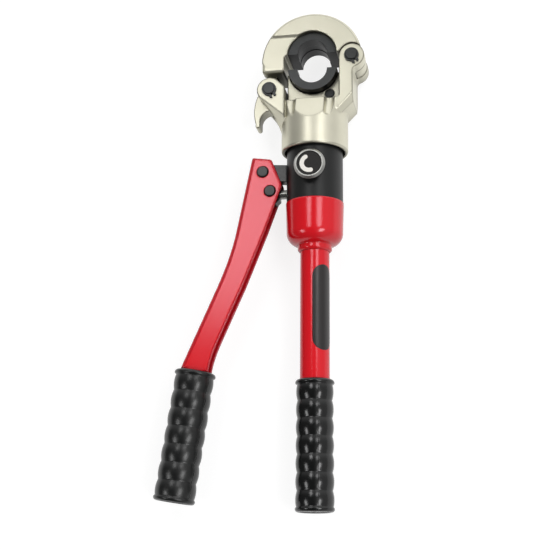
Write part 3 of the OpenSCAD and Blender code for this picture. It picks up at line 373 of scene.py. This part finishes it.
# The face's moulded grain is about 0.4 mm, drawn at 0.7 mm to show as pale and dark specks.
FACE_GRAIN = 0.7 * MM
PIT_DEPTH = 0.2 * MM
grained, tree, place = new_material("grained_grey_moulding")
speck = add(tree, "TexNoise", {"Vector": place, "Scale": 1 / FACE_GRAIN, "Detail": 3.0})
tone = add(tree, "MixRGB", {"Fac": speck.outputs["Fac"], "Color1": linear("#111010"),
                            "Color2": linear("#2d2b29")})
pits = add(tree, "Bump", {"Height": speck.outputs["Fac"], "Strength": 0.5, "Distance": PIT_DEPTH})
plastic = add(tree, "BsdfPrincipled", {
    "Base Color": tone.outputs["Color"], "Roughness": 0.65, "IOR": 1.38,
    "Normal": pits.outputs["Normal"]})
add(tree, "OutputMaterial", {"Surface": plastic.outputs["BSDF"]})
dress(grained, "release_knob")

# Screen ink dries to a matt white film that follows the grain under it.
ink, tree, place = new_material("white_screen_ink")
film = add(tree, "TexNoise", {"Vector": place, "Scale": 1 / FACE_GRAIN, "Detail": 2.0})
tone = add(tree, "MixRGB", {"Fac": film.outputs["Fac"], "Color1": linear("#dedad2"),
                            "Color2": linear("#f4f1ea")})
print_ink = add(tree, "BsdfPrincipled", {"Base Color": tone.outputs["Color"], "Roughness": 0.5})
add(tree, "OutputMaterial", {"Surface": print_ink.outputs["BSDF"]})

SIGN_RADIUS = 6.3 * MM
SIGN_WIDTH = 3.7 * MM
SIGN_HEIGHT = 0.12 * MM
SIGN_FROM, SIGN_TO = math.radians(119), math.radians(283)
SIGN_STEPS = 40
CAP_STEPS = 8
SHARP_ANGLE = math.radians(40)
face_low, face_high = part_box("release_knob")
face_middle = (face_low + face_high) / 2


def piece(name, verts, faces, material):
    """A new smooth-shaded mesh object."""
    mesh = bpy.data.meshes.new(name)
    mesh.from_pydata(verts, [], faces)
    mesh.materials.append(material)
    mesh.shade_smooth()
    made = bpy.data.objects.new(name, mesh)
    bpy.context.scene.collection.objects.link(made)
    return made


def arc(middle, radius, start, end, steps):
    """Points along an arc in the plane of the part's front."""
    turns = [start + (end - start) * i / steps for i in range(steps + 1)]
    return [(middle[0] + radius * math.cos(a), middle[1] + radius * math.sin(a)) for a in turns]


def plate(name, outline, bottom, top, material):
    """A flat plate with the given outline in X and Y."""
    count = len(outline)
    verts = [(x, y, bottom) for x, y in outline] + [(x, y, top) for x, y in outline]
    sides = [(i, (i + 1) % count, (i + 1) % count + count, i + count) for i in range(count)]
    made = piece(name, verts, [tuple(range(count))[::-1], tuple(range(count, 2 * count))] + sides,
                 material)
    made.data.set_sharp_from_angle(angle=SHARP_ANGLE)
    return made


inner, outer = SIGN_RADIUS - SIGN_WIDTH / 2, SIGN_RADIUS + SIGN_WIDTH / 2
tips = [(face_middle[0] + SIGN_RADIUS * math.cos(a), face_middle[1] + SIGN_RADIUS * math.sin(a))
        for a in (SIGN_FROM, SIGN_TO)]
sign_outline = (
    arc(face_middle, outer, SIGN_FROM, SIGN_TO, SIGN_STEPS)
    + arc(tips[1], SIGN_WIDTH / 2, SIGN_TO, SIGN_TO + math.pi, CAP_STEPS)[1:-1]
    + arc(face_middle, inner, SIGN_TO, SIGN_FROM, SIGN_STEPS)
    + arc(tips[0], SIGN_WIDTH / 2, SIGN_FROM + math.pi, SIGN_FROM + 2 * math.pi, CAP_STEPS)[1:-1])
sign = plate("turn_sign", sign_outline, face_high[2] - SIGN_HEIGHT, face_high[2] + SIGN_HEIGHT, ink)
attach(sign, "release")

# Lever, reservoir collar and handle tube.
# The lever is pressed from steel sheet into an open channel; the collar is turned and the tube is
# drawn steel pushed into it. All three are sprayed and baked in the same red enamel.
SHEET_BEND = 1.8 * MM

# Gloss red enamel is a deep even colour under a clear skin, with the spray's faint orange peel,
# rounded edges where the sheet is bent, and a darker red deep in the corners as painted shade.
red_enamel, tree, place = new_material("gloss_red_baked_enamel")
peel = add(tree, "TexNoise", {"Vector": place, "Scale": 1 / ORANGE_PEEL, "Detail": 2.0})
gloss = add(tree, "MapRange", {"Value": peel.outputs["Fac"], "To Min": 0.14, "To Max": 0.2})
edge = add(tree, "Bevel", {"Radius": SHEET_BEND}, samples=8)
# Painted shade: a darker red in corners and recesses.
shade = add(tree, "AmbientOcclusion", {"Distance": CREASE_REACH}, samples=6)
corner_shade = add(tree, "MapRange", {"Value": shade.outputs["AO"], "From Min": 0.15, "From Max": 0.7,
                               "To Min": 0.75, "To Max": 0.0})
tone = add(tree, "MixRGB", {"Fac": corner_shade.outputs["Result"], "Color1": linear("#d8141f"),
                            "Color2": linear("#5c070d")})
skin = add(tree, "Bump", {"Height": peel.outputs["Fac"], "Strength": 0.03, "Distance": PEEL_DEPTH,
                          "Normal": edge.outputs["Normal"]})
paint = add(tree, "BsdfPrincipled", {
    "Base Color": tone.outputs["Color"], "Roughness": gloss.outputs["Result"], "IOR": 1.52,
    "Specular Tint": linear("#fff3ff"), "Normal": skin.outputs["Normal"]})
add(tree, "OutputMaterial", {"Surface": paint.outputs["BSDF"]})
dress(red_enamel, "reservoir_collar", "main_tube")

# The lever's bends are painted a darker red, as painted shade where the light falls off their edges.
lever_enamel = red_enamel.copy()
lever_enamel.name = "gloss_red_enamel_shaded_on_bends"
tree = lever_enamel.node_tree
pointed = add(tree, "NewGeometry").outputs["Pointiness"]
bend_shade = add(tree, "MapRange", {"Value": pointed, "From Min": 0.502, "From Max": 0.51, "To Max": 0.4})
bends_shaded = add(tree, "MixRGB", {"Fac": bend_shade.outputs["Result"], "Color2": linear("#6d0a18"),
                              "Color1": tree.nodes[tone.name].outputs["Color"]})
tree.links.new(bends_shaded.outputs["Color"], tree.nodes[paint.name].inputs["Base Color"])
LEVER_GRAIN = 0.6 * MM
LEVER_ROUNDS = 17
lever = softened("lever_pressed", "lever", "lever", LEVER_GRAIN, LEVER_ROUNDS,
                 lever_enamel)

# The press leaves a wide bend along the closed left back of the channel: what stands outside it
# is drawn in to the bend's radius. The back's line is found slice by slice along the lever.
BEND_RADIUS = 4 * MM
SLICE = 2 * MM
half_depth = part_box("lever")[1][2]
pressed = bpy.data.meshes.new_from_object(
    lever.evaluated_get(bpy.context.evaluated_depsgraph_get()))
lever.modifiers.clear()
lever.data = pressed
lowest = min(v.co.y for v in pressed.vertices)
highest = max(v.co.y for v in pressed.vertices)
back_line = [0.0] * (int((highest - lowest) / SLICE) + 1)
for v in pressed.vertices:
    row = int((v.co.y - lowest) / SLICE)
    back_line[row] = min(back_line[row], v.co.x)
for v in pressed.vertices:
    along = min(max((v.co.y - lowest) / SLICE - 0.5, 0.0), len(back_line) - 1)
    row = min(int(along), len(back_line) - 2)
    here, ahead = back_line[row], back_line[row + 1]
    slope = (ahead - here) / SLICE
    inward = Vector((1, -slope, 0)).normalized()
    depth_in = (v.co.x - here - (ahead - here) * (along - row)) * inward.x
    short = Vector((BEND_RADIUS - depth_in, BEND_RADIUS - half_depth + abs(v.co.z)))
    if min(short) > 0 and short.length > BEND_RADIUS:
        drawn = short - short.normalized() * BEND_RADIUS
        v.co += inward * drawn.x - Vector((0, 0, math.copysign(drawn.y, v.co.z)))

# Sticker on the tube.
# A blank black vinyl label with round ends, cut from thin sheet and stuck round the front right of
# the tube by its own glue.
LABEL_LENGTH = 73 * MM
LABEL_WIDTH = 20 * MM
LABEL_LIFT = 0.15 * MM
LABEL_TIP = 0.2 * MM
LABEL_TURN = math.radians(45)
LABEL_TOP = -189.4 * MM
LABEL_ROWS = 48
LABEL_COLUMNS = 16
VINYL_WAVE = 1.2 * MM
tube_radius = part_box("main_tube")[1][0]

# Vinyl film is an even soft black, with a sheen that the glue's faint waves break up.
vinyl, tree, place = new_material("black_vinyl_label")
wave = add(tree, "TexNoise", {"Vector": place, "Scale": 1 / VINYL_WAVE, "Detail": 2.0})
gloss = add(tree, "MapRange", {"Value": wave.outputs["Fac"], "To Min": 0.28, "To Max": 0.38})
label_film = add(tree, "BsdfPrincipled", {
    "Base Color": linear("#211e1e"), "Roughness": gloss.outputs["Result"], "IOR": 1.5})
add(tree, "OutputMaterial", {"Surface": label_film.outputs["BSDF"]})
verts = []
for row in range(LABEL_ROWS + 1):
    along = LABEL_LENGTH * (0.5 - 0.5 * math.cos(math.pi * row / LABEL_ROWS))
    from_end = min(along, LABEL_LENGTH - along, LABEL_WIDTH / 2)
    half = math.sqrt(max(LABEL_WIDTH ** 2 / 4 - (LABEL_WIDTH / 2 - from_end) ** 2, LABEL_TIP ** 2))
    for column in range(LABEL_COLUMNS + 1):
        turn = LABEL_TURN + half * (2 * column / LABEL_COLUMNS - 1) / tube_radius
        verts.append(((tube_radius + LABEL_LIFT) * math.sin(turn), LABEL_TOP - along,
                      (tube_radius + LABEL_LIFT) * math.cos(turn)))
step = LABEL_COLUMNS + 1
faces = [(r * step + c, (r + 1) * step + c, (r + 1) * step + c + 1, r * step + c + 1)
         for r in range(LABEL_ROWS) for c in range(LABEL_COLUMNS)]
label = piece("tube_label", verts, faces, vinyl)
film = label.modifiers.new("thickness", "SOLIDIFY")
film.thickness = LABEL_LIFT
film.offset = -1
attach(label, "pump")

# Grips on the tube and on the lever.
# Soft black PVC, moulded as a row of seven barrel-shaped lobes between two rolled flanges, with
# a fine parting line down the side and a closed, sunk lower end; pushed on while warm.
SKIN_WAVE = 4 * MM
LOBES = 7
LOBE_RADIUS = 15.4 * MM
LOBE_GROWTH = 0.6 * MM
NOTCH_DEPTH = 1.2 * MM
NOTCH_ROUND = 0.25 * MM
ROLL_RADIUS = 2.5 * MM
FLANGE_RADIUS = 16.3 * MM
END_RECESS = 0.8 * MM
END_STEP = 1.2 * MM
END_FLAT = 1.8 * MM
END_DIMPLE = 1.5 * MM
ROLL_STEPS = 10
LOBE_STEPS = 24
TURN_STEPS = 96
SEAM_WIDTH = 0.6 * MM
SEAM_SIDES = 6

# The mould's polished steel leaves a glossy skin with small sharp highlights on each lobe.
moulded_pvc, tree, place = new_material("glossy_black_soft_pvc")
wave = add(tree, "TexNoise", {"Vector": place, "Scale": 1 / SKIN_WAVE, "Detail": 2.0})
gloss = add(tree, "MapRange", {"Value": wave.outputs["Fac"], "To Min": 0.16, "To Max": 0.24})
pvc = add(tree, "BsdfPrincipled", {
    "Base Color": linear("#0a0b0b"), "Roughness": gloss.outputs["Result"], "IOR": 1.5})
add(tree, "OutputMaterial", {"Surface": pvc.outputs["BSDF"]})

# The lever's grip is the one that the hand works, which has dulled its skin.
handled_pvc = moulded_pvc.copy()
handled_pvc.name = "handled_black_soft_pvc"
dulled = handled_pvc.node_tree.nodes[gloss.name]
dulled.inputs["To Min"].default_value = 0.26
dulled.inputs["To Max"].default_value = 0.36


def lobe_radius(along, length):
    """Radius of the lobed row at a distance below the upper flange."""
    pitch = length / LOBES
    crown = (pitch ** 2 / 4 + NOTCH_DEPTH ** 2) / (2 * NOTCH_DEPTH)
    off = abs(along % pitch - pitch / 2)
    off = pitch / 2 - math.sqrt((pitch / 2 - off) ** 2 + NOTCH_ROUND ** 2)
    return LOBE_RADIUS + LOBE_GROWTH * along / length - crown + math.sqrt(crown ** 2 - off ** 2)


def grip(name, length, swell, bore, material):
    """A grip along -Y from the centre of its upper flange at the origin."""
    ring = FLANGE_RADIUS + swell - ROLL_RADIUS
    roll = [(ROLL_RADIUS * math.cos(math.pi * i / ROLL_STEPS),
             ring + ROLL_RADIUS * math.sin(math.pi * i / ROLL_STEPS)) for i in range(ROLL_STEPS + 1)]
    rows = LOBES * LOBE_STEPS
    # The profile runs from the bore over the upper roll, down the lobes and over the lower roll
    # into the sunk end.
    sections = [(ROLL_RADIUS, bore)] + [s for s in roll if s[0] > -ROLL_RADIUS / 2]
    for i in range(rows + 1):
        along = length * i / rows
        radius = lobe_radius(along, length) + swell
        if ROLL_RADIUS / 2 < along < length - ROLL_RADIUS / 2:
            sections.append((-along, radius))
    sections += [(y - length, radius) for y, radius in roll if y < ROLL_RADIUS / 2]
    end_y = END_RECESS - ROLL_RADIUS - length
    sections += [(end_y, r) for r in (ring - END_STEP, ring - END_FLAT, ring / 2, END_DIMPLE)]
    verts, faces = [], []
    for y, radius in sections:
        for t in range(TURN_STEPS):
            turn = 2 * math.pi * t / TURN_STEPS
            verts.append((radius * math.sin(turn), y, radius * math.cos(turn)))
    for s in range(len(sections) - 1):
        for t in range(TURN_STEPS):
            u = (t + 1) % TURN_STEPS
            faces.append((s * TURN_STEPS + t, (s + 1) * TURN_STEPS + t,
                          (s + 1) * TURN_STEPS + u, s * TURN_STEPS + u))
    end = (len(sections) - 1) * TURN_STEPS
    faces.append(tuple(end + t for t in range(TURN_STEPS)))
    faces.append(tuple(range(TURN_STEPS))[::-1])
    return piece(name, verts, faces, material)


def parting_line(name, length, swell, turn):
    """The fine rib that the mould's joint leaves along a grip, at one turn round its axis."""
    out = Vector((math.sin(turn), 0, math.cos(turn)))
    side = Vector((math.cos(turn), 0, -math.sin(turn)))
    rows = LOBES * LOBE_STEPS
    verts = []
    for i in range(rows + 1):
        along = length * i / rows
        middle = out * (lobe_radius(along, length) + swell) - Vector((0, along, 0))
        for k in range(SEAM_SIDES):
            a = 2 * math.pi * k / SEAM_SIDES
            verts.append(middle + SEAM_WIDTH / 2 * (out * math.sin(a) + side * math.cos(a)))
    faces = [(i * SEAM_SIDES + k, i * SEAM_SIDES + (k + 1) % SEAM_SIDES,
              (i + 1) * SEAM_SIDES + (k + 1) % SEAM_SIDES, (i + 1) * SEAM_SIDES + k)
             for i in range(rows) for k in range(SEAM_SIDES)]
    faces += [tuple(range(SEAM_SIDES))[::-1],
              tuple(rows * SEAM_SIDES + k for k in range(SEAM_SIDES))]
    return piece(name, verts, faces, moulded_pvc)


MAIN_SEAM_TURN = math.radians(19)
main_low, main_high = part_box("main_grip")
main_length = main_high[1] - main_low[1] - 2 * ROLL_RADIUS
main_grip = grip("main_grip_lobed", main_length, 0.0, tube_radius, moulded_pvc)
main_seam = parting_line("main_grip_parting_line", main_length, 0.0, MAIN_SEAM_TURN)
for made in (main_grip, main_seam):
    made.data.transform(Matrix.Translation((0, main_high[1] - ROLL_RADIUS, 0)))
    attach(made, "pump")
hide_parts("main_grip")

LEVER_GRIP_TOP = Vector((-102.3 * MM, -279.2 * MM, 0))
LEVER_GRIP_LEAN = math.radians(8.4)
LEVER_GRIP_LENGTH = 105 * MM
LEVER_GRIP_SWELL = 1.2 * MM
LEVER_GRIP_BORE = 9 * MM
LEVER_SEAM_TURN = math.radians(63)
lever_grip = grip("lever_grip_lobed", LEVER_GRIP_LENGTH, LEVER_GRIP_SWELL, LEVER_GRIP_BORE,
                  handled_pvc)
lever_seam = parting_line("lever_grip_parting_line", LEVER_GRIP_LENGTH, LEVER_GRIP_SWELL,
                          LEVER_SEAM_TURN)
for made in (lever_grip, lever_seam):
    made.data.transform(Matrix.Translation(LEVER_GRIP_TOP)
                        @ Matrix.Rotation(-LEVER_GRIP_LEAN, 4, "Z"))
    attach(made, "lever")
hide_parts("lever_grip")

# Studio: floor, room, camera and lights.
# The tool lies on its back on a pale paper sweep under four soft boxes, in a dim room whose right
# and far walls are lit. The camera looks down from a little below and to the right.
FLOOR_HALF = 3000 * MM
FLOOR_GLOW = 0.82

# White paper is matt, and looks white to the eye and in the tool's reflections while it throws
# little light back up.
sweep, tree, _ = new_material("white_paper_sweep")
ray = add(tree, "LightPath")
mirrored = add(tree, "Math", {0: ray.outputs["Is Glossy Ray"], 1: ray.outputs["Is Transmission Ray"]},
               operation="MAXIMUM")
seen = add(tree, "Math", {0: ray.outputs["Is Camera Ray"], 1: mirrored.outputs[0]},
           operation="MAXIMUM")
glow = add(tree, "Math", {0: seen.outputs[0], 1: FLOOR_GLOW}, operation="MULTIPLY")
paper = add(tree, "BsdfPrincipled", {
    "Base Color": linear("#8e8e8e"), "Roughness": 1.0, "Specular IOR Level": 0.0,
    "Emission Color": linear("#ffffff"), "Emission Strength": glow.outputs[0]})
add(tree, "OutputMaterial", {"Surface": paper.outputs["BSDF"]})
floor = piece("paper_floor", [(x, y, cad_low[2]) for x, y in (
    (-FLOOR_HALF, -FLOOR_HALF), (FLOOR_HALF, -FLOOR_HALF), (FLOOR_HALF, FLOOR_HALF),
    (-FLOOR_HALF, FLOOR_HALF))], [(0, 1, 2, 3)], sweep)

ROOM_LEVEL = 0.12
RIGHT_WALL = 0.44
FAR_WALL = 1.4
world = bpy.data.worlds.new("studio")
world.use_nodes = True
bpy.context.scene.world = world
tree = world.node_tree
tree.nodes.clear()
way = add(tree, "SeparateXYZ", {"Vector": add(tree, "TexCoord").outputs["Generated"]})
right_wall = add(tree, "MapRange", {"Value": way.outputs["X"], "From Min": 0.05, "From Max": 0.5,
                                    "To Max": RIGHT_WALL}, interpolation_type="SMOOTHSTEP")
far_wall = add(tree, "MapRange", {"Value": way.outputs["Y"], "From Min": 0.28, "From Max": 1.0,
                                  "To Max": FAR_WALL})
walls = add(tree, "Math", {0: right_wall.outputs[0], 1: far_wall.outputs[0]}, operation="ADD")
level = add(tree, "Math", {0: walls.outputs[0], 1: ROOM_LEVEL}, operation="ADD")
sky = add(tree, "Background", {"Color": linear("#ffffff"), "Strength": level.outputs[0]})
add(tree, "OutputWorld", {"Surface": sky.outputs["Background"]})

# The camera's place and lens were fitted to the tool's outline in the photograph.
CAMERA_TARGET = Vector((-34.38 * MM, -194.62 * MM, 0))
CAMERA_DISTANCE = 1033.6 * MM
CAMERA_PITCH, CAMERA_YAW, CAMERA_ROLL = (math.radians(a) for a in (14.505, 10.622, 0.499))
CAMERA_RANGE = 20000 * MM
SENSOR_WIDTH_MM = 36
FOCAL_LENGTH_MM = 79.32
back = Vector((math.cos(CAMERA_PITCH) * math.sin(CAMERA_YAW), -math.sin(CAMERA_PITCH),
               math.cos(CAMERA_PITCH) * math.cos(CAMERA_YAW)))
level_right = Vector((math.cos(CAMERA_YAW), 0, -math.sin(CAMERA_YAW)))
right = level_right * math.cos(CAMERA_ROLL) + back.cross(level_right) * math.sin(CAMERA_ROLL)
up = back.cross(right)
lens = bpy.data.cameras.new("camera")
lens.sensor_width = SENSOR_WIDTH_MM
lens.lens = FOCAL_LENGTH_MM
lens.clip_end = CAMERA_RANGE
camera = bpy.data.objects.new("camera", lens)
camera.matrix_world = Matrix.Translation(CAMERA_TARGET + CAMERA_DISTANCE * back) @ Matrix(
    (right, up, back)).transposed().to_4x4()
bpy.context.scene.collection.objects.link(camera)
bpy.context.scene.camera = camera
bpy.context.scene.view_settings.view_transform = "Standard"

SOFTBOX_DISTANCE = 1600 * MM


def softbox(name, across, along, width, height, glow):
    """A soft box that faces the tool: its degrees to the right and to the head, size and glow."""
    lamp = bpy.data.lights.new(name, "AREA")
    lamp.shape = "RECTANGLE"
    lamp.size, lamp.size_y = (2 * SOFTBOX_DISTANCE * math.tan(math.radians(a / 2))
                              for a in (width, height))
    lamp.energy = glow * math.pi * lamp.size * lamp.size_y
    made = bpy.data.objects.new(name, lamp)
    a, b = math.radians(across), math.radians(along)
    way = Vector((math.sin(a) * math.cos(b), math.sin(b), math.cos(a) * math.cos(b)))
    made.location = CAMERA_TARGET + SOFTBOX_DISTANCE * way
    made.rotation_euler = way.to_track_quat("Z", "Y").to_euler()
    made.visible_camera = False
    bpy.context.scene.collection.objects.link(made)


softbox("low_left_softbox", across=-44, along=-17, width=20, height=13, glow=6.5)
softbox("low_right_softbox", across=37, along=-17, width=27, height=14, glow=8.5)
softbox("high_left_softbox", across=-14, along=20, width=14, height=16, glow=5.6)
softbox("high_right_softbox", across=27, along=17, width=13, height=18, glow=5)
